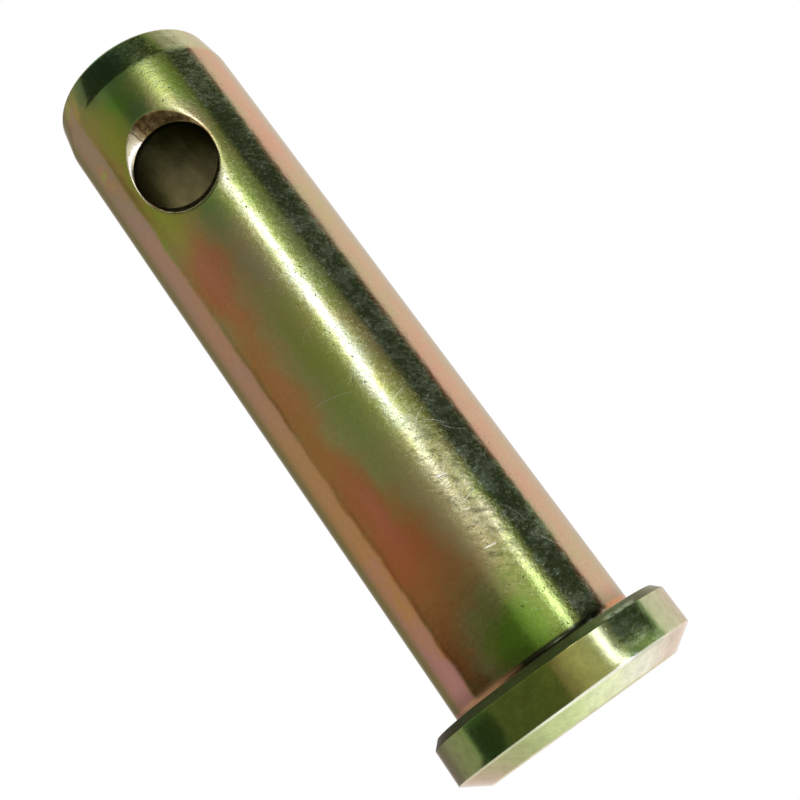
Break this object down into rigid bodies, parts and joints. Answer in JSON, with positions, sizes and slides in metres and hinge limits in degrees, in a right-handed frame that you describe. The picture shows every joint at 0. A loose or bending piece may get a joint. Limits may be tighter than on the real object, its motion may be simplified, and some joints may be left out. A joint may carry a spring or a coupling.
{
  "type": "boom pin",
  "caption": "Headed steel pin with a bevelled round head, a tapered tip and a countersunk cross hole for a retaining bolt, to join a boom to its bracket.",
  "frame": {"origin": "centre of the head's outer face, on which the pin stands", "axes": "+Z along the pin's axis from the head to the tip, -Y out of the near mouth of the cross hole"},
  "size_m": [0.04, 0.04, 0.126],
  "materials": {
    "yellow_zinc_steel": "turned steel, yellow zinc plated, satin with a green and rust-red iridescence"
  },
  "bodies": {
    "root": {"boom_pin": "yellow_zinc_steel"}
  },
  "joints": []
}
